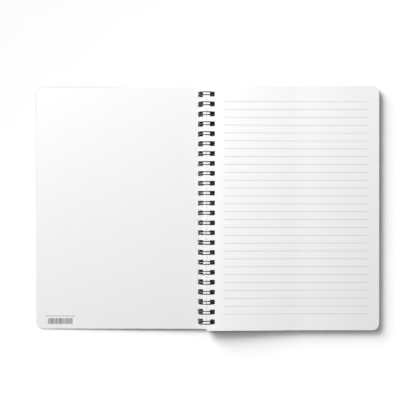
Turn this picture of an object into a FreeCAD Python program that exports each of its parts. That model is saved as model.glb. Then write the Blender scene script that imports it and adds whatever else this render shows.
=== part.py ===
import FreeCAD, Part
import math
import os

# Spiral notebook lying open at its front cover, in millimetres.
# The origin is on the table under the middle of the spine, +X runs across the pages,
# +Y runs up along the spine and +Z points up from the table.

# Pages
page_width = 148.0
page_height = 210.0
sheet_count = 40
sheet_thickness = 0.1
corner_radius = 6.35

# Covers, cut a little smaller than the pages
cover_thickness = 0.35
cover_inset_side = 1.5
cover_inset_end = 0.9

# Twin-loop wire binding
ring_outer_diameter = 14.0
wire_diameter = 1.0
link_corner = 0.8
loop_pitch = 25.4 / 3.0

# The round wire is drawn as a rod of straight steps with this many sides
rod_sides = 6
steps_per_leg = 16
steps_per_tip = 4

# Punched holes, one for each loop
hole_size = 4.2
hole_end_margin = 4.0

# How the leaves ease down from the rings onto the table
bend_margin = 1.0
bend_run = 75.0
bend_radius = 180.0

# Clearances
spine_gap = 0.6
hole_clearance = 0.2
leg_clearance = 0.4
link_clearance = 0.2
tip_clearance = 0.4
leaf_gap = 0.2

# Sizes worked out from the ones above
cover_width = page_width - cover_inset_side
cover_height = page_height - 2 * cover_inset_end
stack_thickness = sheet_count * sheet_thickness
loop_count = int((page_height - 2 * hole_end_margin - hole_size) / loop_pitch) + 1

# The rod's section has the area of the round wire
wire_radius = wire_diameter / 2
rod_radius = wire_radius * math.sqrt(2 * math.pi / (rod_sides * math.sin(2 * math.pi / rod_sides)))
rod_half_width = rod_radius * math.cos(math.pi / rod_sides)

ring_outer_radius = ring_outer_diameter / 2
ring_radius = ring_outer_radius - wire_radius
ring_axis_z = ring_outer_radius
leg_spacing = hole_size - wire_diameter - 2 * leg_clearance

spine_edge_x = spine_gap / 2
hole_outer_x = ring_outer_radius + hole_clearance
hole_inner_x = hole_outer_x - hole_size
bend_start_x = hole_outer_x + bend_margin

# Each loop ends in a rounded tip, which stops just short of the link line
tip_radius = leg_spacing / 2
tip_reach = wire_diameter + tip_clearance + tip_radius
leg_sweep = 360.0 - math.degrees(tip_reach / ring_radius)
step_angle = leg_sweep / steps_per_leg

# The strip between a cover's edge and its holes lies inside the rings, just above the wire
ring_inner_radius = ring_radius * math.cos(math.radians(step_angle / 2)) - rod_half_width
inner_wire_drop = math.sqrt(ring_inner_radius ** 2 - hole_inner_x ** 2)
cover_raise = ring_axis_z - inner_wire_drop + hole_clearance

# The open front cover is a stiff flat card: it leans from the wire down to the table
cover_lean = math.degrees(math.asin(cover_raise / (spine_edge_x + cover_width - hole_inner_x)))

# The straight links of the wire are hidden between the back cover and the last page
link_z = cover_raise + cover_thickness + link_clearance + wire_radius
link_angle = math.degrees(math.asin((link_z - ring_axis_z) / ring_radius))
stack_raise = link_z + wire_radius + link_clearance
stack_rest = cover_thickness + leaf_gap

origin = FreeCAD.Vector(0, 0, 0)
ring_centre = FreeCAD.Vector(0, 0, ring_axis_z)
x_axis = FreeCAD.Vector(1, 0, 0)
y_axis = FreeCAD.Vector(0, 1, 0)


def point(x, z):
    """A point of a side view, which is drawn in the plane y = 0."""
    return FreeCAD.Vector(x, 0, z)


def line(start, end):
    return Part.LineSegment(start, end).toShape()


def easing_slope(drop):
    """Angle of the straight slope between two equal arcs that lead down a drop over the bend's run."""
    across = 2 * bend_radius - drop
    return math.atan2(bend_run, across) - math.acos(2 * bend_radius / math.hypot(bend_run, across))


def easing(raised_z, rest_z):
    """Arc, straight slope and arc, tangent to each other, from the raised level down to the resting one."""
    slope = easing_slope(raised_z - rest_z)
    bend_end_x = bend_start_x + bend_run
    crest_centre = point(bend_start_x, raised_z - bend_radius)
    trough_centre = point(bend_end_x, rest_z + bend_radius)
    half_way = point(math.sin(slope / 2), math.cos(slope / 2)) * bend_radius
    all_the_way = point(math.sin(slope), math.cos(slope)) * bend_radius
    start = point(bend_start_x, raised_z)
    slope_start = crest_centre + all_the_way
    slope_end = trough_centre - all_the_way
    end = point(bend_end_x, rest_z)
    crest = Part.Arc(start, crest_centre + half_way, slope_start).toShape()
    trough = Part.Arc(slope_end, trough_centre - half_way, end).toShape()
    return [crest, line(slope_start, slope_end), trough]


def leaf_section(width, raised_z, rest_z, thickness):
    """Side view of a leaf on the right: level at the rings, easing down, then flat."""
    fore_edge_x = spine_edge_x + width
    bend_end_x = bend_start_x + bend_run
    raised_top = raised_z + thickness
    rest_top = rest_z + thickness
    edges = [line(point(spine_edge_x, raised_z), point(bend_start_x, raised_z))]
    edges += easing(raised_z, rest_z)
    edges.append(line(point(bend_end_x, rest_z), point(fore_edge_x, rest_z)))
    edges.append(line(point(fore_edge_x, rest_z), point(fore_edge_x, rest_top)))
    edges.append(line(point(fore_edge_x, rest_top), point(bend_end_x, rest_top)))
    edges += easing(raised_top, rest_top)
    edges.append(line(point(bend_start_x, raised_top), point(spine_edge_x, raised_top)))
    edges.append(line(point(spine_edge_x, raised_top), point(spine_edge_x, raised_z)))
    return Part.Face(Part.Wire(Part.__sortEdges__(edges)))


def leaf_outline(width, height, top_z):
    """Upright block with the leaf's plan: square at the spine, rounded at the outer corners."""
    block = Part.makeBox(width, height, top_z, FreeCAD.Vector(spine_edge_x, -height / 2, 0))
    fore_edge_x = spine_edge_x + width
    upright = [edge for edge in block.Edges if is_outer_corner(edge, fore_edge_x)]
    return block.makeFillet(corner_radius, upright)


def is_outer_corner(edge, fore_edge_x):
    """True for the two upright edges at the fore edge."""
    start = edge.firstVertex().Point
    end = edge.lastVertex().Point
    run = end - start
    upright = abs(run.z) > abs(run.x) + abs(run.y)
    return upright and start.x > fore_edge_x - corner_radius


def loop_centres():
    """Places of the loops along the spine, even about its middle."""
    first = -(loop_count - 1) * loop_pitch / 2
    return [first + index * loop_pitch for index in range(loop_count)]


def hole_punches(top_z):
    """Square punches for all the holes of a leaf."""
    punches = []
    for y in loop_centres():
        corner = FreeCAD.Vector(hole_inner_x, y - hole_size / 2, 0)
        punches.append(Part.makeBox(hole_size, hole_size, top_z, corner))
    return Part.makeCompound(punches)


def make_leaf(width, height, raised_z, rest_z, thickness):
    """A punched leaf, or a stack of them, lying to the right of the spine."""
    section = leaf_section(width, raised_z, rest_z, thickness)
    section.translate(y_axis * (-height / 2))
    body = section.extrude(y_axis * height)
    top_z = raised_z + thickness + 1
    body = body.common(leaf_outline(width, height, top_z))
    return body.cut(hole_punches(top_z)).Solids[0]


def make_back_cover():
    return make_leaf(cover_width, cover_height, cover_raise, 0, cover_thickness)


def make_front_cover():
    """Flat card on the left, which touches the table at its fore edge only."""
    card = leaf_outline(cover_width, cover_height, cover_thickness)
    card.rotate(point(spine_edge_x + cover_width, 0), y_axis, cover_lean)
    card = card.cut(hole_punches(cover_raise + cover_thickness + 1)).Solids[0]
    return card.mirror(origin, x_axis)


def make_page_block():
    return make_leaf(page_width, page_height, stack_raise, stack_rest, stack_thickness)


def radial(degrees):
    """Direction from the axis of the rings to a point on them, 0 at +X and 90 at the top."""
    angle = math.radians(degrees)
    return FreeCAD.Vector(math.cos(angle), 0, math.sin(angle))


def leg_path(y):
    """One leg of a loop, from its corner at the link line down and round to the tip."""
    corner_angle = math.degrees(link_corner / ring_radius)
    angles = [link_angle - corner_angle]
    angles += [link_angle - step * step_angle for step in range(1, steps_per_leg + 1)]
    return [ring_centre + radial(angle) * ring_radius + y_axis * y for angle in angles]


def tip_path(y):
    """Hairpin between the two legs of a loop, bent in the plane that touches the ring."""
    end_angle = link_angle - leg_sweep
    centre = ring_centre + radial(end_angle) * ring_radius + y_axis * y
    onward = radial(end_angle - 90)
    turns = [math.pi * step / steps_per_tip for step in range(1, steps_per_tip)]
    return [centre - y_axis * (tip_radius * math.cos(turn)) + onward * (tip_radius * math.sin(turn)) for turn in turns]


def loop_path(y):
    """Middle of the wire through one loop: in along a link, round, back and out along the next."""
    link_point = ring_centre + radial(link_angle) * ring_radius
    inward = link_point + y_axis * (y - tip_radius - link_corner)
    outward = link_point + y_axis * (y + tip_radius + link_corner)
    there = leg_path(y - tip_radius)
    back = leg_path(y + tip_radius)[::-1]
    return [inward] + there + tip_path(y) + back + [outward]


def first_section(start, onward):
    """Corners of the rod's end, square to its first straight."""
    across = onward.cross(x_axis).normalize()
    upward = across.cross(onward)
    turns = [2 * math.pi * side / rod_sides for side in range(rod_sides)]
    return [start + across * (rod_radius * math.cos(turn)) + upward * (rod_radius * math.sin(turn)) for turn in turns]


def mitred_sections(path):
    """The rod's corners at every point of its path, each set in the plane of the mitre there."""
    onward = (path[1] - path[0]).normalize()
    sections = [first_section(path[0], onward)]
    for index in range(1, len(path)):
        is_last = index == len(path) - 1
        after = onward if is_last else (path[index + 1] - path[index]).normalize()
        mitre = onward + after
        sections.append([slide(corner, onward, path[index], mitre) for corner in sections[-1]])
        onward = after
    return sections


def slide(corner, onward, place, mitre):
    """Move a corner along the rod's straight until it meets the mitre's plane."""
    return corner + onward * ((place - corner).dot(mitre) / onward.dot(mitre))


def flat_face(corners):
    return Part.Face(Part.makePolygon(corners + corners[:1]))


def bent_rod(path):
    """Solid rod of straight steps along a path, mitred where it turns."""
    sections = mitred_sections(path)
    faces = [flat_face(sections[0]), flat_face(sections[-1])]
    for near, far in zip(sections[:-1], sections[1:]):
        for side in range(rod_sides):
            after = (side + 1) % rod_sides
            faces.append(flat_face([near[side], near[after], far[after], far[side]]))
    shell = Part.makeShell(faces)
    shell.sewShape()
    return Part.makeSolid(shell)


def make_wire_binding():
    """One wire for the whole spine: link, loop, link, loop, up to the last loop."""
    path = []
    for y in loop_centres():
        path += loop_path(y)
    return bent_rod(path)


def main():
    os.makedirs("parts", exist_ok=True)
    make_front_cover().exportStep("parts/front_cover.step")
    make_page_block().exportStep("parts/page_block.step")
    make_back_cover().exportStep("parts/back_cover.step")
    make_wire_binding().exportStep("parts/wire_binding.step")


main()
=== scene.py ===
"""Looks of an open twin-loop wire notebook: card covers, ruled sheets, black wire, light and camera.

Lengths are in metres, apart from the camera's lens and sensor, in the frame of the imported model: the
origin is on the table under the middle of the spine, +X runs across the pages, +Y up along the spine
and +Z up from the table.
"""

import logging
import math
import random
from dataclasses import dataclass, field
from enum import Enum
from typing import Any, Sequence

import bmesh
import bpy
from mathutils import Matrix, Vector


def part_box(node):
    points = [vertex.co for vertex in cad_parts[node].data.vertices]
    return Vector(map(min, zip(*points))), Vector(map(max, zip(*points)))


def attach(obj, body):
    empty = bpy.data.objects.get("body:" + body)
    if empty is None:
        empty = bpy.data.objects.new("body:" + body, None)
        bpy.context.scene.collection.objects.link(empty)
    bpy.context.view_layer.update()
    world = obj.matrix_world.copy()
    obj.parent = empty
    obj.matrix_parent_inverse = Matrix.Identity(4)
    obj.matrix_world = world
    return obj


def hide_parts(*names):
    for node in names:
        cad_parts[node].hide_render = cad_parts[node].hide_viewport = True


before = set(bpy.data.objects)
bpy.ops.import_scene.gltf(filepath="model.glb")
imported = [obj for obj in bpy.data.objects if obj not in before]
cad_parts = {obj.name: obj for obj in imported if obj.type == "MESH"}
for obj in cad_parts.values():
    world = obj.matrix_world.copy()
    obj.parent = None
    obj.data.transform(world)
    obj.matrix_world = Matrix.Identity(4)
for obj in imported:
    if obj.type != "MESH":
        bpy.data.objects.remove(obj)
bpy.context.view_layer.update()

MM = 0.001
CAD_SPINE_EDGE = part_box("back_cover")[0].x

# Edges that turn by more than this stay sharp in the shading
SHARP_ANGLE = math.radians(35)

# Sockets of a Mix node for colours: the factor, the two colours and the result
MIX_FACTOR, MIX_LOW, MIX_HIGH, MIX_RESULT = 0, 6, 7, 2

# Corners of one side of a leaf, by column from the spine and by row along it
Grid = list[list[bmesh.types.BMVert]]

log = logging.getLogger("notebook")


class Body(Enum):
    """The rigid bodies that the pieces ride on."""

    BACK = "back_body"
    FRONT = "front_body"
    PAGES = "pages_body"


class Slot(Enum):
    """The record's material slots."""

    CARD = "cover_card"
    PAPER = "page_paper"
    WIRE = "black_wire"


class Side(Enum):
    """Which way a leaf lies from the spine."""

    LEFT = -1
    RIGHT = 1


class Face(Enum):
    """Which face of a leaf is printed."""

    UPPER = 1
    LOWER = -1


class NodeTree:
    """A node tree that makes its nodes and links from plain calls."""

    def __init__(self, tree: bpy.types.NodeTree) -> None:
        """Wrap an empty shader or geometry tree."""
        self.tree = tree

    def node(self, kind: str, settings: dict[str, Any] | None = None, **sockets: Any) -> bpy.types.Node:
        """Add one node.

        Args:
            kind: Blender's type name of the node.
            settings: Properties of the node, set before its sockets.
            **sockets: Values or links by socket name, with underscores for spaces.

        Returns:
            The new node.
        """
        made = self.tree.nodes.new(kind)
        for name, value in (settings or {}).items():
            setattr(made, name, value)
        for name, value in sockets.items():
            self.feed(made.inputs[name.replace("_", " ")], value)
        return made

    def feed(self, socket: bpy.types.NodeSocket, value: Any) -> None:
        """Link a socket to another one, or set its value.

        Args:
            socket: The input to feed.
            value: A number, a colour, a vector, a material, an output socket or a Term.
        """
        if isinstance(value, Term):
            value = value.socket
        if isinstance(value, bpy.types.NodeSocket):
            self.tree.links.new(value, socket)
        else:
            socket.default_value = value


class Term:
    """A number socket that Python's operators work on, one Math node for each."""

    def __init__(self, tree: NodeTree, socket: bpy.types.NodeSocket) -> None:
        """Wrap an output that holds one number, in its tree."""
        self.tree = tree
        self.socket = socket

    def maths(self, operation: str, *values: Any) -> "Term":
        """Run one Math node.

        Args:
            operation: The Math node's operation.
            *values: Its inputs in order, numbers or Terms.

        Returns:
            The node's result.
        """
        made = self.tree.node("ShaderNodeMath", {"operation": operation})
        for socket, value in zip(made.inputs, values):
            self.tree.feed(socket, value)
        return Term(self.tree, made.outputs[0])

    def __add__(self, other: Any) -> "Term":
        """Sum."""
        return self.maths("ADD", self, other)

    __radd__ = __add__

    def __sub__(self, other: Any) -> "Term":
        """Difference."""
        return self.maths("SUBTRACT", self, other)

    def __rsub__(self, other: Any) -> "Term":
        """Difference with this term taken away."""
        return self.maths("SUBTRACT", other, self)

    def __mul__(self, other: Any) -> "Term":
        """Product."""
        return self.maths("MULTIPLY", self, other)

    def __truediv__(self, other: Any) -> "Term":
        """Quotient."""
        return self.maths("DIVIDE", self, other)

    def __pow__(self, other: Any) -> "Term":
        """Power."""
        return self.maths("POWER", self, other)

    def __gt__(self, other: Any) -> "Term":
        """1 where this term is larger, and 0 elsewhere."""
        return self.maths("GREATER_THAN", self, other)

    def __lt__(self, other: Any) -> "Term":
        """1 where this term is smaller, and 0 elsewhere."""
        return self.maths("LESS_THAN", self, other)

    def size(self) -> "Term":
        """This term without its sign."""
        return self.maths("ABSOLUTE", self)

    def clamped(self, low: float = 0.0, high: float = 1.0) -> "Term":
        """This term kept between two limits."""
        return self.maths("MINIMUM", self.maths("MAXIMUM", self, low), high)


class Dressing(NodeTree):
    """A material under construction, with its surface shader."""

    def __init__(self, name: str) -> None:
        """Start a material.

        Args:
            name: The material's name.
        """
        self.material = bpy.data.materials.new(name)
        self.material.use_nodes = True
        super().__init__(self.material.node_tree)
        self.tree.nodes.clear()
        self.place = self.node("ShaderNodeTexCoord").outputs["Object"]

    def axes(self) -> tuple[Term, Term, Term]:
        """The place on the object along X, Y and Z."""
        parts = self.node("ShaderNodeSeparateXYZ", Vector=self.place).outputs
        return Term(self, parts["X"]), Term(self, parts["Y"]), Term(self, parts["Z"])

    def stretched(self, x: float, y: float) -> bpy.types.NodeSocket:
        """The place on the object with X and Y scaled, so that a noise is drawn out along one."""
        return self.node("ShaderNodeMapping", Vector=self.place, Scale=(x, y, 1.0)).outputs["Vector"]

    def tone(self, near: float, far: float, reach: float = 148.0 * MM) -> Term:
        """Painted light and shade: a level that changes evenly from near, at the spine, to far, at the fore
        edge, in place of the light's falloff across the leaf.
        """
        x, _, _ = self.axes()
        return near + (x.size() * ((far - near) / reach))

    def painted_hole_shade_mask(
        self,
        start: float = 2.0 * MM,
        stop: float = 8.0 * MM,
        end: float = 101.0 * MM,
        flattest: float = 0.5,
    ) -> Term:
        """A mask of the upright walls of the punched holes, which the light hardly reaches, where shade is
        painted.

        Args:
            start: Least distance of the walls from the middle of the spine.
            stop: Greatest distance.
            end: Greatest distance along the spine, short of the leaf's own ends.
            flattest: Greatest upward part of a wall's normal.

        Returns:
            1 on the walls and 0 elsewhere.
        """
        x, y, _ = self.axes()
        normal = self.node("ShaderNodeNewGeometry").outputs["Normal"]
        upward = Term(self, self.node("ShaderNodeSeparateXYZ", Vector=normal).outputs["Z"])
        return (upward.size() < flattest) * (x.size() < stop) * (x.size() > start) * (y.size() < end)

    def even(self, level: Term) -> bpy.types.NodeSocket:
        """A neutral colour of a level that changes over the surface."""
        return self.node("ShaderNodeCombineColor", Red=level, Green=level, Blue=level).outputs[0]

    def noise(self, size: float, detail: float, vector: Any = None, finer: float = 0.6) -> Term:
        """A soft noise between 0 and 1.

        Args:
            size: Size of its patches in metres.
            detail: Octaves of finer noise.
            vector: Coordinates, if not the plain place on the object.
            finer: Strength of each octave beside the one before.

        Returns:
            The noise value.
        """
        place = self.place if vector is None else vector
        made = self.node("ShaderNodeTexNoise", Vector=place, Scale=1 / size, Detail=detail, Roughness=finer)
        return Term(self, made.outputs["Fac"])

    def blend(self, mask: Any, low: Sequence[float], high: Sequence[float]) -> bpy.types.NodeSocket:
        """Mix two colours by a mask.

        Args:
            mask: 0 for the first colour and 1 for the second.
            low: First colour, as a value or a link.
            high: Second colour, as a value or a link.

        Returns:
            The mixed colour.
        """
        made = self.node("ShaderNodeMix", {"data_type": "RGBA"})
        self.feed(made.inputs[MIX_FACTOR], mask)
        self.feed(made.inputs[MIX_LOW], low)
        self.feed(made.inputs[MIX_HIGH], high)
        return made.outputs[MIX_RESULT]

    def surface(
        self,
        colour: Any,
        roughness: Term,
        bump: Term,
        depth: float,
        gloss: float,
    ) -> bpy.types.Material:
        """Finish the material with a Principled surface.

        Args:
            colour: Base colour, as a value or a link.
            roughness: Roughness over the surface.
            bump: Height of the relief between 0 and 1.
            depth: Height in metres of a full step of the relief.
            gloss: Strength of the mirrored light.

        Returns:
            The finished material.
        """
        relief = self.node("ShaderNodeBump", Strength=1.0, Distance=depth, Height=bump)
        shader = self.node(
            "ShaderNodeBsdfPrincipled",
            Base_Color=colour,
            Roughness=roughness,
            Normal=relief.outputs["Normal"],
            Specular_IOR_Level=gloss,
        )
        self.node("ShaderNodeOutputMaterial", Surface=shader.outputs[0])
        return self.material


def grey(level: float) -> tuple[float, float, float, float]:
    """A neutral colour of one level."""
    return (level, level, level, 1.0)


@dataclass(frozen=True)
class PaperFinish:
    """Uncoated writing paper: matt, with faint fibres and clouds in it."""

    name: str
    # Levels at the spine and at the fore edge, with painted light and shade for the light's falloff across
    # the page
    spine_level_with_painted_light: float = 0.965
    fore_level_with_painted_shade: float = 0.862
    cloud_size: float = 9.0 * MM
    cloud_drop: float = 0.012
    fibre_size: float = 0.35 * MM
    fibre_stretch: float = 0.45
    fibre_drop: float = 0.02
    smoothest: float = 0.72
    rough_spread: float = 0.16
    gloss: float = 0.3
    relief: float = 0.006 * MM
    # Painted shade on the walls of the holes
    painted_hole_shade_level: float = 0.06

    def build(self) -> bpy.types.Material:
        """Make the material.

        Returns:
            The finished material.
        """
        dress = Dressing(self.name)
        clouds = dress.noise(self.cloud_size, detail=1.0)
        drawn_out = dress.stretched(1.0, self.fibre_stretch)
        fibres = dress.noise(self.fibre_size, detail=3.0, vector=drawn_out)
        drop = clouds * self.cloud_drop + fibres * self.fibre_drop
        # The paper is painted darker from the spine to the fore edge, a painted shade for the light's
        # falloff across the page
        colour = dress.even(dress.tone(self.spine_level_with_painted_light, self.fore_level_with_painted_shade) - drop)
        rough = self.smoothest + fibres * self.rough_spread
        # The walls of the holes are painted near black, a painted shade for the depth of the holes
        colour_with_painted_hole_shade = dress.blend(dress.painted_hole_shade_mask(), colour, grey(self.painted_hole_shade_level))
        return dress.surface(colour_with_painted_hole_shade, rough, fibres, self.relief, self.gloss)


@dataclass(frozen=True)
class CardFinish:
    """Smooth white cover card with a satin face."""

    name: str
    # Levels at the spine and at the fore edge, with painted light and shade for the light's falloff across
    # the cover
    spine_level_with_painted_light: float = 0.785
    fore_level_with_painted_shade: float = 0.745
    cloud_size: float = 14.0 * MM
    cloud_drop: float = 0.015
    grain_size: float = 0.5 * MM
    grain_stretch: float = 0.5
    smoothest: float = 0.5
    rough_spread: float = 0.18
    gloss: float = 0.35
    relief: float = 0.004 * MM
    # Painted shade on the walls of the holes
    painted_hole_shade_level: float = 0.1

    def build(self) -> bpy.types.Material:
        """Make the material.

        Returns:
            The finished material.
        """
        dress = Dressing(self.name)
        clouds = dress.noise(self.cloud_size, detail=2.0)
        drawn_out = dress.stretched(self.grain_stretch, 1.0)
        grain = dress.noise(self.grain_size, detail=2.0, vector=drawn_out)
        # The card is painted lighter at the spine and darker at the fore edge, painted light and shade for
        # how the light falls across the cover
        colour = dress.even(dress.tone(self.spine_level_with_painted_light, self.fore_level_with_painted_shade) - clouds * self.cloud_drop)
        # The walls of the holes are painted dark grey, a painted shade for the holes
        colour_with_painted_hole_shade = dress.blend(dress.painted_hole_shade_mask(), colour, grey(self.painted_hole_shade_level))
        rough = self.smoothest + grain * self.rough_spread
        return dress.surface(colour_with_painted_hole_shade, rough, grain, self.relief, self.gloss)


@dataclass(frozen=True)
class InkFinish:
    """Flat printing ink, a little uneven where the paper took less of it."""

    name: str
    level: float
    thin_level: float
    uptake_size: float = 0.6 * MM
    smoothest: float = 0.6
    rough_spread: float = 0.15
    gloss: float = 0.3
    relief: float = 0.002 * MM

    def build(self) -> bpy.types.Material:
        """Make the material.

        Returns:
            The finished material.
        """
        dress = Dressing(self.name)
        uptake = dress.noise(self.uptake_size, detail=2.0)
        colour = dress.blend(uptake, grey(self.level), grey(self.thin_level))
        rough = self.smoothest + uptake * self.rough_spread
        return dress.surface(colour, rough, uptake, self.relief, self.gloss)


@dataclass(frozen=True)
class WireFinish:
    """Black coat on steel wire: dull, with a faint orange-peel, and a painted highlight of light grey on
    top of the rings, made uneven by a wear noise.
    """

    name: str
    level: float = 0.005
    # Painted highlight on top of the rings: its level and the heights where it starts and is full
    painted_highlight_level: float = 0.15
    painted_highlight_from: float = 13.0 * MM
    painted_highlight_to: float = 14.0 * MM
    wear_size: float = 3.0 * MM
    least_highlight_and_wear: float = 0.6
    highlight_and_wear_spread: float = 0.8
    peel_size: float = 0.25 * MM
    smoothest: float = 0.3
    rough_spread: float = 0.14
    gloss: float = 0.1
    relief: float = 0.003 * MM

    def build(self) -> bpy.types.Material:
        """Make the material.

        Returns:
            The finished material.
        """
        dress = Dressing(self.name)
        peel = dress.noise(self.peel_size, detail=1.0)
        wear = dress.noise(self.wear_size, detail=2.0)
        _, _, z = dress.axes()
        # Painted highlight: the tops of the rings are painted lighter grey, made uneven by a wear noise
        rise = ((z - self.painted_highlight_from) / (self.painted_highlight_to - self.painted_highlight_from)).clamped()
        painted_highlight_and_wear = rise * (self.least_highlight_and_wear + wear * self.highlight_and_wear_spread)
        colour = dress.blend(painted_highlight_and_wear, grey(self.level), grey(self.painted_highlight_level))
        rough = self.smoothest + wear * self.rough_spread
        return dress.surface(colour, rough, peel, self.relief, self.gloss)


@dataclass(frozen=True)
class HoleRow:
    """The row of square punched holes, one for each wire loop."""

    count: int = 24
    pitch: float = 25.4 * MM / 3
    size: float = 4.2 * MM
    outer: float = 7.2 * MM

    @property
    def inner(self) -> float:
        """Distance of the holes' near side from the middle of the spine."""
        return self.outer - self.size

    def centres(self) -> list[float]:
        """Places of the holes along the spine."""
        first = -(self.count - 1) * self.pitch / 2
        return [first + index * self.pitch for index in range(self.count)]


@dataclass(frozen=True)
class LeafShape:
    """A leaf or cover: level at the rings, down an arc, a straight slope and an arc, then flat."""

    width: float
    height: float
    thickness: float
    raised: float
    rest: float
    side: Side = Side.RIGHT
    spine_edge: float = 0.12 * MM
    corner_radius: float = 6.35 * MM
    bend_start: float = 8.2 * MM
    bend_run: float = 75.0 * MM
    bend_radius: float = 180.0 * MM
    arc_steps: int = 6
    corner_steps: int = 10
    end_margin: float = 0.3 * MM
    holes: HoleRow = field(default_factory=HoleRow)

    def underside(self, x: float) -> float:
        """Height of the leaf's underside.

        Args:
            x: Distance from the middle of the spine.

        Returns:
            Height above the table.
        """
        along = min(max(x - self.bend_start, 0.0), self.bend_run)
        slope = self.slope
        reach = self.bend_radius * math.sin(slope)
        if along < reach:
            return self.raised - self.sag(along)
        if along > self.bend_run - reach:
            return self.rest + self.sag(self.bend_run - along)
        return self.raised - self.sag(reach) - (along - reach) * math.tan(slope)

    def sag(self, along: float) -> float:
        """Depth of one of the bend's arcs below its level tangent, this far from where they touch."""
        return self.bend_radius - math.sqrt(self.bend_radius**2 - along**2)

    @property
    def slope(self) -> float:
        """Angle of the straight slope between the bend's two arcs.

        Returns:
            The angle below the level.
        """
        between = 2 * self.bend_radius
        across = between - (self.raised - self.rest)
        centres_apart = math.hypot(self.bend_run, across)
        return math.atan2(self.bend_run, across) - math.acos(between / centres_apart)

    @property
    def fore_edge(self) -> float:
        """Distance of the outer edge from the middle of the spine."""
        return CAD_SPINE_EDGE + self.width

    def end(self, x: float) -> float:
        """Half the leaf's height, which is less at the rounded corners.

        Args:
            x: Distance from the middle of the spine.

        Returns:
            Place of the leaf's end along the spine.
        """
        into = x - (self.fore_edge - self.corner_radius)
        half = self.height / 2
        if into <= 0:
            return half
        return half - self.corner_radius + math.sqrt(max(self.corner_radius**2 - into**2, 0.0))

    def columns(self, extra: Sequence[float] = ()) -> list[float]:
        """Distances from the spine at which the leaf is divided.

        Args:
            extra: More distances that need a division.

        Returns:
            The distances in order.
        """
        places = {self.spine_edge, self.holes.inner, self.holes.outer, *extra}
        reach = self.bend_radius * math.sin(self.slope)
        for step in range(self.arc_steps + 1):
            along = reach * step / self.arc_steps
            places |= {self.bend_start + along, self.bend_start + self.bend_run - along}
        corner = self.fore_edge - self.corner_radius
        turns = [math.pi / 2 * step / self.corner_steps for step in range(self.corner_steps + 1)]
        places |= {corner + self.corner_radius * math.sin(turn) for turn in turns}
        return sorted(places)

    def rows(self) -> list[float]:
        """Places along the spine at which the leaf is divided, between its two ends."""
        half = self.holes.size / 2
        return [centre + edge for centre in self.holes.centres() for edge in (-half, half)]

    def mesh(self, name: str, extra: Sequence[float] = ()) -> bpy.types.Mesh:
        """Build the leaf as one closed sheet with its holes punched.

        Args:
            name: Name of the mesh.
            extra: More distances from the spine that need a division.

        Returns:
            The mesh, in its place.
        """
        columns = self.columns(extra)
        inner_rows = self.rows()
        made = bmesh.new()
        layers = []
        for lift in (self.thickness, 0.0):
            grid = []
            for x in columns:
                end = self.end(x)
                # Rows that a rounded corner would cut off stay just inside it
                room = end - self.end_margin
                ys = [-end] + [min(max(y, -room), room) for y in inner_rows] + [end]
                z = self.underside(x) + lift
                grid.append([made.verts.new((self.side.value * x, y, z)) for y in ys])
            layers.append(grid)
        for grid in layers:
            self.skin(made, columns, grid)
        self.walls(made, *layers)
        bmesh.ops.recalc_face_normals(made, faces=made.faces)
        return finished_mesh(made, name)

    def is_hole(self, middle_x: float, row: int) -> bool:
        """True if the grid's cell with this middle, in this row along the spine, lies in a hole."""
        return self.holes.inner < middle_x < self.holes.outer and row % 2 == 1

    def skin(self, made: bmesh.types.BMesh, columns: Sequence[float], grid: Grid) -> None:
        """Add the faces of one side of the sheet.

        Args:
            made: The mesh under construction.
            columns: Distances of the grid's columns.
            grid: Corners by column and row.
        """
        for index in range(len(columns) - 1):
            near, far = grid[index], grid[index + 1]
            middle = (columns[index] + columns[index + 1]) / 2
            for row in range(len(near) - 1):
                if not self.is_hole(middle, row):
                    made.faces.new((near[row], far[row], far[row + 1], near[row + 1]))

    @staticmethod
    def walls(made: bmesh.types.BMesh, top: Grid, bottom: Grid) -> None:
        """Join the open edges of the two sides round the outline and in every hole.

        Args:
            made: The mesh under construction.
            top: Corners of the upper side.
            bottom: Corners of the lower side.
        """
        partner = {}
        for upper, lower in zip(top, bottom):
            partner.update(zip(upper, lower))
        rims = [edge for edge in made.edges if edge.is_boundary and edge.verts[0] in partner]
        for edge in rims:
            start, stop = edge.verts
            made.faces.new((start, stop, partner[stop], partner[start]))
        loose = [vert for vert in made.verts if not vert.link_faces]
        bmesh.ops.delete(made, geom=loose, context="VERTS")


@dataclass(frozen=True)
class LeaningCard(LeafShape):
    """A stiff flat card that leans from the wire down to the table at its fore edge."""

    def underside(self, x: float) -> float:
        """Height of the card's underside above the table, at a distance from the middle of the spine."""
        return self.raised * (self.fore_edge - x) / (self.fore_edge - self.holes.inner)


def finished_mesh(made: bmesh.types.BMesh, name: str) -> bpy.types.Mesh:
    """Turn a construction into a smooth-shaded mesh whose real edges stay sharp.

    Args:
        made: The construction, freed here.
        name: Name of the mesh.

    Returns:
        The mesh.
    """
    mesh = bpy.data.meshes.new(name)
    made.to_mesh(mesh)
    made.free()
    mesh.polygons.foreach_set("use_smooth", [True] * len(mesh.polygons))
    mesh.set_sharp_from_angle(angle=SHARP_ANGLE)
    return mesh


def placed(name: str, mesh: bpy.types.Mesh, material: bpy.types.Material | None = None) -> bpy.types.Object:
    """Put a mesh into the scene as an object at the origin.

    Args:
        name: Name of the object.
        mesh: Its mesh, already in place.
        material: Its only material, if it has none yet.

    Returns:
        The object.
    """
    piece = bpy.data.objects.new(name, mesh)
    bpy.context.scene.collection.objects.link(piece)
    if material is not None:
        mesh.materials.clear()
        mesh.materials.append(material)
    return piece


def seat(piece: bpy.types.Object, body: Body, slot: Slot, *nodes: str) -> None:
    """Let a piece ride on its body and hide the nodes that it stands for.

    Args:
        piece: The finished piece.
        body: The body that it moves with.
        slot: The record's slot that it takes its finish from; not used.
        *nodes: Nodes that it replaces.
    """
    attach(piece, body.value)
    if nodes:
        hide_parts(*nodes)
    log.info("%s: %d faces, rides on %s", piece.name, len(piece.data.polygons), body.value)


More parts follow.
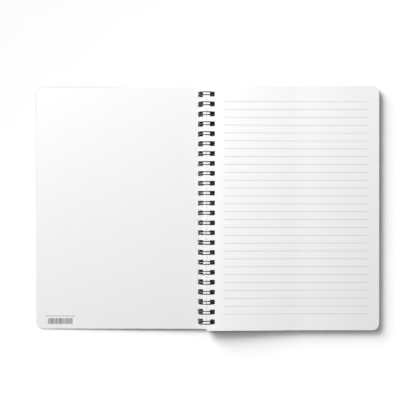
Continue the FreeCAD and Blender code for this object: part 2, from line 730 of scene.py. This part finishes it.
class GeometryRecipe(NodeTree):
    """A Geometry Nodes tree with named inputs that turns one shape into many."""

    def __init__(self, name: str, inputs: dict[str, tuple[str, Any]]) -> None:
        """Start a tree.

        Args:
            name: Name of the tree.
            inputs: Socket type and value of each named input.
        """
        super().__init__(bpy.data.node_groups.new(name, "GeometryNodeTree"))
        self.values = {}
        face = self.tree.interface
        face.new_socket("Geometry", in_out="INPUT", socket_type="NodeSocketGeometry")
        for label, (kind, value) in inputs.items():
            socket = face.new_socket(label, in_out="INPUT", socket_type=kind)
            self.values[socket.identifier] = value
        face.new_socket("Geometry", in_out="OUTPUT", socket_type="NodeSocketGeometry")
        self.inputs = self.node("NodeGroupInput").outputs

    def finish(self, geometry: bpy.types.NodeSocket, material: bpy.types.NodeSocket) -> None:
        """End the tree in Realize Instances and Set Material.

        Args:
            geometry: The repeated shape.
            material: The material input.
        """
        real = self.node("GeometryNodeRealizeInstances", Geometry=geometry)
        dressed = self.node("GeometryNodeSetMaterial", Geometry=real.outputs[0], Material=material)
        self.node("NodeGroupOutput", Geometry=dressed.outputs[0])

    def in_a_row(
        self,
        shape: bpy.types.NodeSocket,
        count: bpy.types.NodeSocket,
        step: bpy.types.NodeSocket,
        start: Any = (0.0, 0.0, 0.0),
    ) -> bpy.types.NodeSocket:
        """Copies of a shape in a straight row from a start, each a step on from the one before."""
        line = self.node("GeometryNodeMeshLine", Count=count, Start_Location=start, Offset=step)
        return self.node("GeometryNodeInstanceOnPoints", Points=line.outputs[0], Instance=shape).outputs[0]

    def cook(self, name: str, seed_mesh: bpy.types.Mesh) -> bpy.types.Object:
        """Run the tree on a shape and keep the result as a plain mesh.

        Args:
            name: Name of the piece.
            seed_mesh: The shape that is repeated.

        Returns:
            The piece, with no modifier left.
        """
        raw = placed(name + "_raw", seed_mesh)
        modifier = raw.modifiers.new("recipe", "NODES")
        modifier.node_group = self.tree
        for identifier, value in self.values.items():
            modifier[identifier] = value
        bpy.context.view_layer.update()
        graph = bpy.context.evaluated_depsgraph_get()
        mesh = bpy.data.meshes.new_from_object(raw.evaluated_get(graph), depsgraph=graph)
        mesh.name = name
        bpy.data.objects.remove(raw)
        return placed(name, mesh)


@dataclass
class Covers:
    """The two covers, cut from the same card."""

    width: float = 146.5 * MM
    height: float = 208.2 * MM
    thickness: float = 0.35 * MM
    edge_round: float = 0.05 * MM
    edge_steps: int = 2
    edge_angle: float = math.radians(60)

    def shape(self, side: Side) -> LeafShape:
        """The form of one cover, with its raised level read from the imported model.

        Args:
            side: Where it lies from the spine.

        Returns:
            The form.
        """
        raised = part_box("back_cover")[1].z - self.thickness
        form = LeaningCard if side is Side.LEFT else LeafShape
        return form(self.width, self.height, self.thickness, raised, 0.0, side)

    def build(self) -> None:
        """Make both covers."""
        card = CardFinish("satin_card").build()
        covers = ((Side.LEFT, "front_cover", Body.FRONT), (Side.RIGHT, "back_cover", Body.BACK))
        for side, node, body in covers:
            name = node + "_card"
            piece = placed(name, self.shape(side).mesh(name), card)
            self.soften(piece)
            seat(piece, body, Slot.CARD, node)

    def soften(self, piece: bpy.types.Object) -> None:
        """Round the cut edges of the card a little.

        Args:
            piece: The cover.
        """
        bevel = piece.modifiers.new("cut_edge", "BEVEL")
        bevel.width = self.edge_round
        bevel.segments = self.edge_steps
        bevel.limit_method = "ANGLE"
        bevel.angle_limit = self.edge_angle
        bevel.harden_normals = False


@dataclass
class Strip:
    """A thin printed strip on one face of a leaf, whose side view it follows."""

    start: float
    stop: float
    half_width: float
    face: Face = Face.UPPER
    film: float = 0.012 * MM

    def mesh(self, name: str, shape: LeafShape, y: float = 0.0) -> bpy.types.Mesh:
        """Build the strip as a closed film on its face of the leaf.

        Args:
            name: Name of the mesh.
            shape: The leaf that it is printed on.
            y: Place of its middle along the spine.

        Returns:
            The mesh.
        """
        made = bmesh.new()
        self.add_to(made, shape, y)
        return finished_mesh(made, name)

    def add_to(self, made: bmesh.types.BMesh, shape: LeafShape, y: float) -> None:
        """Add the strip to a construction.

        Args:
            made: The construction.
            shape: The leaf that it is printed on.
            y: Place of its middle along the spine.
        """
        places = [x for x in shape.columns((self.start, self.stop)) if self.start <= x <= self.stop]
        previous: list[bmesh.types.BMVert] = []
        side = shape.side.value
        half = self.half_width
        rise = shape.thickness if self.face is Face.UPPER else -self.film
        for x in places:
            base = shape.underside(x) + rise
            corners = [(-half, 0.0), (half, 0.0), (half, self.film), (-half, self.film)]
            section = [made.verts.new((side * x, y + aside, base + lift)) for aside, lift in corners]
            if previous:
                for index in range(len(section)):
                    after = (index + 1) % len(section)
                    made.faces.new((previous[index], previous[after], section[after], section[index]))
            else:
                made.faces.new(section)
            previous = section
        made.faces.new(previous[::-1])
        bmesh.ops.recalc_face_normals(made, faces=made.faces)


@dataclass
class Pages:
    """The page block: loose sheets, the top page and the lines on both outer faces."""

    width: float = 148.0 * MM
    height: float = 210.0 * MM
    sheets: int = 40
    spacing: float = 0.1 * MM
    sheet_thickness: float = 0.085 * MM
    wander: float = 0.06 * MM
    wander_seed: int = 7
    fine_steps: tuple[int, int] = (6, 10)
    plain_steps: tuple[int, int] = (4, 6)
    line_count: int = 28
    line_pitch: float = 6.74 * MM
    first_line_below_head: float = 13.8 * MM
    line_start: float = 14.9 * MM
    line_stop: float = 138.2 * MM
    line_width: float = 0.33 * MM

    def shape(self, index: int, arc_steps: int, corner_steps: int) -> LeafShape:
        """The form of one sheet.

        Args:
            index: Its number from the bottom.
            arc_steps: Divisions of each arc of its bend.
            corner_steps: Divisions round each corner.

        Returns:
            The form.
        """
        low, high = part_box("page_block")
        raised = high.z - self.sheets * self.spacing + index * self.spacing
        rest = low.z + index * self.spacing
        sizes = (self.width, self.height, self.sheet_thickness, raised, rest)
        return LeafShape(*sizes, arc_steps=arc_steps, corner_steps=corner_steps)

    def build(self) -> None:
        """Make the stack, the top page and the ruling on both outer faces."""
        paper = PaperFinish("writing_paper").build()
        bottom = self.shape(0, *self.plain_steps)
        self.build_stack(bottom, paper)
        top = self.shape(self.sheets - 1, *self.fine_steps)
        page = placed("top_page", top.mesh("top_page", (self.line_start, self.line_stop)), paper)
        seat(page, Body.PAGES, Slot.PAPER)
        ink = InkFinish("ruling_ink", level=0.46, thin_level=0.53).build()
        self.build_ruling("ruled_lines", top, Face.UPPER, ink)
        self.build_ruling("ruled_lines_reverse", bottom, Face.LOWER, ink)

    def build_stack(self, bottom: LeafShape, paper: bpy.types.Material) -> None:
        """Repeat one sheet up the stack, each copy a hair out of line.

        Args:
            bottom: The form of the lowest sheet.
            paper: The sheets' material.
        """
        recipe = GeometryRecipe(
            "sheet_stack",
            {
                "Sheets": ("NodeSocketInt", self.sheets - 1),
                "Spacing": ("NodeSocketFloat", self.spacing),
                "Wander": ("NodeSocketFloat", self.wander),
                "Seed": ("NodeSocketInt", self.wander_seed),
                "Paper": ("NodeSocketMaterial", paper),
            },
        )
        given = recipe.inputs
        rise = recipe.node("ShaderNodeCombineXYZ", Z=given["Spacing"])
        copies = recipe.in_a_row(given["Geometry"], given["Sheets"], rise.outputs[0])
        back = Term(recipe, given["Wander"]) * -1.0
        least = recipe.node("ShaderNodeCombineXYZ", X=back, Y=back)
        most = recipe.node("ShaderNodeCombineXYZ", X=given["Wander"], Y=given["Wander"])
        shift = recipe.node(
            "FunctionNodeRandomValue",
            {"data_type": "FLOAT_VECTOR"},
            Min=least.outputs[0],
            Max=most.outputs[0],
            Seed=given["Seed"],
        ).outputs[0]
        moved = recipe.node("GeometryNodeTranslateInstances", Instances=copies, Translation=shift)
        recipe.finish(moved.outputs[0], given["Paper"])
        seat(recipe.cook("sheet_stack", bottom.mesh("sheet")), Body.PAGES, Slot.PAPER, "page_block")

    def build_ruling(self, name: str, sheet: LeafShape, face: Face, ink: bpy.types.Material) -> None:
        """Repeat one ruled line down a sheet.

        Args:
            name: Name of the piece.
            sheet: The form of the ruled sheet.
            face: Which of its faces is ruled.
            ink: The lines' material.
        """
        recipe = GeometryRecipe(
            name,
            {
                "Lines": ("NodeSocketInt", self.line_count),
                "Pitch": ("NodeSocketFloat", self.line_pitch),
                "Ink": ("NodeSocketMaterial", ink),
            },
        )
        given = recipe.inputs
        step = recipe.node("ShaderNodeCombineXYZ", Y=Term(recipe, given["Pitch"]) * -1.0)
        copies = recipe.in_a_row(given["Geometry"], given["Lines"], step.outputs[0])
        recipe.finish(copies, given["Ink"])
        first_y = self.height / 2 - self.first_line_below_head
        strip = Strip(self.line_start, self.line_stop, self.line_width / 2, face)
        seat(recipe.cook(name, strip.mesh("ruled_line", sheet, first_y)), Body.PAGES, Slot.PAPER)


@dataclass
class BackPrint:
    """Plain print in the lower outer corner of the front cover's inner face: bars and a broken rule."""

    bars_from: float = 115.7 * MM
    bars_to: float = 137.0 * MM
    bars_y: float = -97.55 * MM
    bar_height: float = 4.9 * MM
    narrow: float = 0.2 * MM
    bar_widths: tuple[int, ...] = (1, 1, 2, 3)
    gap_widths: tuple[int, ...] = (1, 1, 1, 2)
    seed: int = 11
    rule_from: float = 113.8 * MM
    rule_to: float = 139.4 * MM
    rule_y: float = -93.2 * MM
    rule_height: float = 0.55 * MM
    shortest_dash: float = 1.0 * MM
    longest_dash: float = 3.2 * MM
    dash_gap: float = 0.5 * MM

    def bars(self) -> list[tuple[float, float]]:
        """Draw the widths of the bars and of the gaps between them at random.

        Returns:
            Start and stop of each bar.
        """
        rng = random.Random(self.seed)
        made = []
        place = self.bars_from
        while place < self.bars_to - self.narrow:
            stop = min(place + self.narrow * rng.choice(self.bar_widths), self.bars_to)
            made.append((place, stop))
            place = stop + self.narrow * rng.choice(self.gap_widths)
        return made

    def dashes(self) -> list[tuple[float, float]]:
        """Draw the lengths of the broken rule's dashes at random.

        Returns:
            Start and stop of each dash.
        """
        rng = random.Random(self.seed + 1)
        made = []
        place = self.rule_from
        while place < self.rule_to:
            stop = min(place + rng.uniform(self.shortest_dash, self.longest_dash), self.rule_to)
            made.append((place, stop))
            place = stop + self.dash_gap
        return made

    def build(self, shape: LeafShape) -> None:
        """Print the bars and the rule.

        Args:
            shape: The form of the front cover.
        """
        bar_ink = InkFinish("bar_ink", level=0.05, thin_level=0.1)
        rule_ink = InkFinish("rule_ink", level=0.12, thin_level=0.2)
        self.print_row("bar_strip", shape, self.bars(), self.bars_y, self.bar_height, bar_ink)
        self.print_row("broken_rule", shape, self.dashes(), self.rule_y, self.rule_height, rule_ink)

    @staticmethod
    def print_row(
        name: str,
        shape: LeafShape,
        spans: Sequence[tuple[float, float]],
        y: float,
        height: float,
        finish: InkFinish,
    ) -> None:
        """Print a row of small blocks.

        Args:
            name: Name of the piece.
            shape: The leaf under the print.
            spans: Start and stop of each block, from the spine.
            y: Place of the row along the spine.
            height: Height of the blocks.
            finish: The ink.
        """
        made = bmesh.new()
        for start, stop in spans:
            Strip(start, stop, height / 2).add_to(made, shape, y)
        piece = placed(name, finished_mesh(made, name), finish.build())
        seat(piece, Body.FRONT, Slot.CARD)


@dataclass
class WireComb:
    """The twin-loop wire: loops joined by straight links along one line."""

    ring_radius: float = 6.5 * MM
    wire_radius: float = 0.5 * MM
    axis_height: float = 7.0 * MM
    link_height: float = 3.153 * MM
    leg_spacing: float = 2.4 * MM
    tip_clearance: float = 0.4 * MM
    corner: float = 0.8 * MM
    leg_steps: int = 56
    tip_steps: int = 12
    corner_steps: int = 5
    section_sides: int = 12
    holes: HoleRow = field(default_factory=HoleRow)

    @property
    def link_angle(self) -> float:
        """Angle of the link line round the rings, 0 at +X and a quarter turn at the top."""
        return math.asin((self.link_height - self.axis_height) / self.ring_radius)

    @property
    def sweep(self) -> float:
        """Angle that a leg turns through from the link line to the tip."""
        reach = 2 * self.wire_radius + self.tip_clearance + self.leg_spacing / 2
        return 2 * math.pi - reach / self.ring_radius

    def on_ring(self, angle: float, y: float) -> Vector:
        """Point of the wire's middle on a ring.

        Args:
            angle: Angle round the rings.
            y: Place along the spine.

        Returns:
            The point.
        """
        x = self.ring_radius * math.cos(angle)
        z = self.axis_height + self.ring_radius * math.sin(angle)
        return Vector((x, y, z))

    def bend_at_link(self, side: int) -> list[Vector]:
        """Rounded corner between a leg and the link line.

        Args:
            side: -1 for the first leg and 1 for the second.

        Returns:
            Points from the link towards the leg.
        """
        half = self.leg_spacing / 2
        made = []
        for step in range(self.corner_steps + 1):
            turn = math.pi / 2 * step / self.corner_steps
            y = side * (half + self.corner * (1 - math.sin(turn)))
            angle = self.link_angle - self.corner * (1 - math.cos(turn)) / self.ring_radius
            made.append(self.on_ring(angle, y))
        return made

    def loop_points(self) -> list[Vector]:
        """Middle of the wire through one loop about y = 0.

        Returns:
            Points from the link before the loop to the link after it.
        """
        half = self.leg_spacing / 2
        start = self.link_angle - self.corner / self.ring_radius
        stop = self.link_angle - self.sweep
        there = self.bend_at_link(-1)
        for step in range(1, self.leg_steps + 1):
            angle = start + (stop - start) * step / self.leg_steps
            there.append(self.on_ring(angle, -half))
        onward = Vector((math.sin(stop), 0, -math.cos(stop)))
        centre = self.on_ring(stop, 0)
        tip = []
        for step in range(1, self.tip_steps):
            turn = math.pi * step / self.tip_steps
            tip.append(centre + Vector((0, -half * math.cos(turn), 0)) + onward * (half * math.sin(turn)))
        back = [Vector((point.x, -point.y, point.z)) for point in reversed(there)]
        return there + tip + back

    def link_points(self) -> list[Vector]:
        """Middle of the straight link that follows the loop about y = 0."""
        reach = self.leg_spacing / 2 + self.corner
        return [self.on_ring(self.link_angle, y) for y in (reach, self.holes.pitch - reach)]

    @staticmethod
    def polyline(name: str, points: Sequence[Vector]) -> bpy.types.Mesh:
        """A mesh of joined edges.

        Args:
            name: Name of the mesh.
            points: Its points in order.

        Returns:
            The mesh.
        """
        mesh = bpy.data.meshes.new(name)
        edges = [(index, index + 1) for index in range(len(points) - 1)]
        mesh.from_pydata([tuple(point) for point in points], edges, [])
        return mesh

    def recipe(self, name: str, copies: int, finish: bpy.types.Material) -> GeometryRecipe:
        """Tree that repeats a piece of wire along the spine and gives it its round section.

        Args:
            name: Name of the tree.
            copies: How often the piece comes.
            finish: The wire's material.

        Returns:
            The tree.
        """
        recipe = GeometryRecipe(
            name,
            {
                "Copies": ("NodeSocketInt", copies),
                "First": ("NodeSocketFloat", self.holes.centres()[0]),
                "Pitch": ("NodeSocketFloat", self.holes.pitch),
                "Radius": ("NodeSocketFloat", self.wire_radius),
                "Coat": ("NodeSocketMaterial", finish),
            },
        )
        given = recipe.inputs
        start = recipe.node("ShaderNodeCombineXYZ", Y=given["First"])
        step = recipe.node("ShaderNodeCombineXYZ", Y=given["Pitch"])
        middle = recipe.node("GeometryNodeMeshToCurve", Mesh=given["Geometry"]).outputs[0]
        copied = recipe.in_a_row(middle, given["Copies"], step.outputs[0], start.outputs[0])
        real = recipe.node("GeometryNodeRealizeInstances", Geometry=copied)
        section = recipe.node(
            "GeometryNodeCurvePrimitiveCircle",
            {"mode": "RADIUS"},
            Resolution=self.section_sides,
            Radius=given["Radius"],
        )
        tube = recipe.node(
            "GeometryNodeCurveToMesh",
            Curve=real.outputs[0],
            Profile_Curve=section.outputs[0],
            Fill_Caps=True,
        )
        smooth = recipe.node("GeometryNodeSetShadeSmooth", Geometry=tube.outputs[0])
        recipe.finish(smooth.outputs[0], given["Coat"])
        return recipe

    def build(self) -> None:
        """Make the loops and the links, and join them into one wire."""
        coat = WireFinish("black_coat").build()
        count = self.holes.count
        loop = self.polyline("loop", self.loop_points())
        link = self.polyline("link", self.link_points())
        loops = self.recipe("wire_loops", count, coat).cook("wire_comb", loop)
        links = self.recipe("wire_links", count - 1, coat).cook("wire_link", link)
        joined = bmesh.new()
        joined.from_mesh(loops.data)
        joined.from_mesh(links.data)
        joined.to_mesh(loops.data)
        joined.free()
        bpy.data.objects.remove(links)
        # The photograph shows no shadow of the wire on the strips between the holes
        loops.visible_shadow = False
        seat(loops, Body.BACK, Slot.WIRE, "wire_binding")


@dataclass
class Studio:
    """White table, soft light from the upper left and the camera straight above."""

    camera_x: float = 1.29 * MM
    camera_height: float = 726.4 * MM
    # In millimetres, as a camera has them
    lens: float = 72.76
    sensor: float = 36.0
    clip_start: float = 0.01
    floor_half: float = 4.0
    floor_drop: float = 0.02 * MM
    floor_white: float = 1.165
    floor_level: float = 0.35
    fade_from: float = 0.4
    fade_to: float = 0.75
    # Painted contact shade on the table next to what lies on it
    painted_shade_reach: float = 1.5 * MM
    painted_shade_drop: float = 0.7
    painted_shade_most: float = 0.3
    painted_shade_samples: int = 8
    painted_shade_power: float = 0.5
    sky_level: float = 0.2
    top_place: tuple[float, float, float] = (-0.35, 0.35, 1.1)
    top_size: float = 0.4
    top_level: float = 0.1
    key_place: tuple[float, float, float] = (-0.92, 0.99, 0.656)
    key_size: float = 1.09
    key_level: float = 0.895
    facing_most: float = 4.0

    def build(self) -> None:
        """Make the floor, the world, the lamps and the camera."""
        self.build_floor()
        self.build_world()
        self.build_lamp("key", self.key_place, self.key_size, self.key_level)
        self.build_lamp("top", self.top_place, self.top_size, self.top_level)
        self.build_camera()
        bpy.context.scene.view_settings.view_transform = "Standard"

    @staticmethod
    def seen_directly(tree: NodeTree) -> Term:
        """Tell the rays that show a surface itself from those that only light another one.

        Args:
            tree: The tree of the surface or of the world.

        Returns:
            1 for rays from the camera, from a gloss or through glass, and 0 for the rest.
        """
        path = tree.node("ShaderNodeLightPath").outputs
        names = ("Is Camera Ray", "Is Glossy Ray", "Is Transmission Ray")
        in_view, in_gloss, through_glass = (Term(tree, path[name]) for name in names)
        return (in_view + in_gloss + through_glass).clamped()

    def key_light(self, dress: Dressing) -> Term:
        """Light of the key on the bare table, which falls off with the distance from the lamp.

        Args:
            dress: The table's material.

        Returns:
            Level of a white surface lit by the key alone.
        """
        x, y, _ = dress.axes()
        key_x, key_y, key_z = self.key_place
        far = key_x**2 + key_y**2 + key_z**2
        aside, along = x - key_x, y - key_y
        near = aside * aside + along * along + key_z**2
        # The limits are met only more than a metre away from the notebook
        facing = (far - x * key_x - y * key_y).clamped(high=self.facing_most * far)
        return facing * (self.key_level * far) / (near * near)

    def build_floor(self) -> None:
        """A table top of even white, which keeps the shadow of what lies on it, has a painted contact shade
        beside it and fades out far away.
        """
        dress = Dressing("white_table")
        lit = self.key_light(dress) + (self.sky_level + self.top_level)
        # Painted shade: the table is painted darker where things close by hide it, by ambient occlusion
        occlusion = dress.node(
            "ShaderNodeAmbientOcclusion", {"samples": self.painted_shade_samples}, Distance=self.painted_shade_reach
        )
        hidden = (1 - Term(dress, occlusion.outputs["AO"])).clamped()
        painted_contact_shade = (hidden**self.painted_shade_power * self.painted_shade_drop).clamped(high=self.painted_shade_most)
        gain = (1 - painted_contact_shade) * self.floor_white / lit
        colour = dress.blend(self.seen_directly(dress), grey(self.floor_level), dress.even(gain))
        table = dress.node("ShaderNodeBsdfDiffuse", Color=colour)
        white = dress.node("ShaderNodeEmission", Color=grey(1.0), Strength=1.0)
        x, y, _ = dress.axes()
        away = (((x * x + y * y) ** 0.5 - self.fade_from) / (self.fade_to - self.fade_from)).clamped()
        shader = dress.node("ShaderNodeMixShader", Fac=away * self.seen_directly(dress))
        dress.feed(shader.inputs[1], table.outputs[0])
        dress.feed(shader.inputs[2], white.outputs[0])
        dress.node("ShaderNodeOutputMaterial", Surface=shader.outputs[0])
        half = self.floor_half
        mesh = bpy.data.meshes.new("table_top")
        corners = [(-half, -half), (half, -half), (half, half), (-half, half)]
        mesh.from_pydata([(x, y, -self.floor_drop) for x, y in corners], [], [(0, 1, 2, 3)])
        placed("table_top", mesh, dress.material)

    def build_world(self) -> None:
        """Even light from all round, with a white background."""
        world = bpy.data.worlds.new("studio")
        world.use_nodes = True
        bpy.context.scene.world = world
        tree = NodeTree(world.node_tree)
        world.node_tree.nodes.clear()
        seen = self.seen_directly(tree)
        strength = seen + (1 - seen) * self.sky_level
        shader = tree.node("ShaderNodeBackground", Color=grey(1.0), Strength=strength)
        tree.node("ShaderNodeOutputWorld", Surface=shader.outputs[0])

    @staticmethod
    def build_lamp(name: str, place: tuple[float, float, float], size: float, level: float) -> None:
        """A soft box that faces the notebook.

        Args:
            name: Name of the lamp.
            place: Middle of the box.
            size: Its side.
            level: How bright it alone makes a white surface on the table at the origin.
        """
        aim = Vector(place)
        lamp = bpy.data.lights.new(name, "AREA")
        lamp.shape = "SQUARE"
        lamp.size = size
        # A lamp of power P makes white paper at distance d read P * cos(angle) / (pi * d)**2
        lamp.energy = level * math.pi**2 * aim.length**3 / aim.z
        box = bpy.data.objects.new(name, lamp)
        bpy.context.scene.collection.objects.link(box)
        box.location = aim
        box.rotation_euler = (-aim).to_track_quat("-Z", "Y").to_euler()

    def build_camera(self) -> None:
        """The photograph's view: straight down, with +Y up in the picture."""
        data = bpy.data.cameras.new("camera")
        data.lens = self.lens
        data.sensor_width = self.sensor
        data.clip_start = self.clip_start
        camera = bpy.data.objects.new("camera", data)
        bpy.context.scene.collection.objects.link(camera)
        camera.location = (self.camera_x, 0, self.camera_height)
        bpy.context.scene.camera = camera


def main() -> None:
    """Build every piece in order."""
    logging.basicConfig(level=logging.INFO, format="%(name)s: %(message)s")
    covers = Covers()
    covers.build()
    BackPrint().build(covers.shape(Side.LEFT))
    Pages().build()
    WireComb().build()
    Studio().build()


if __name__ == "__main__":
    main()
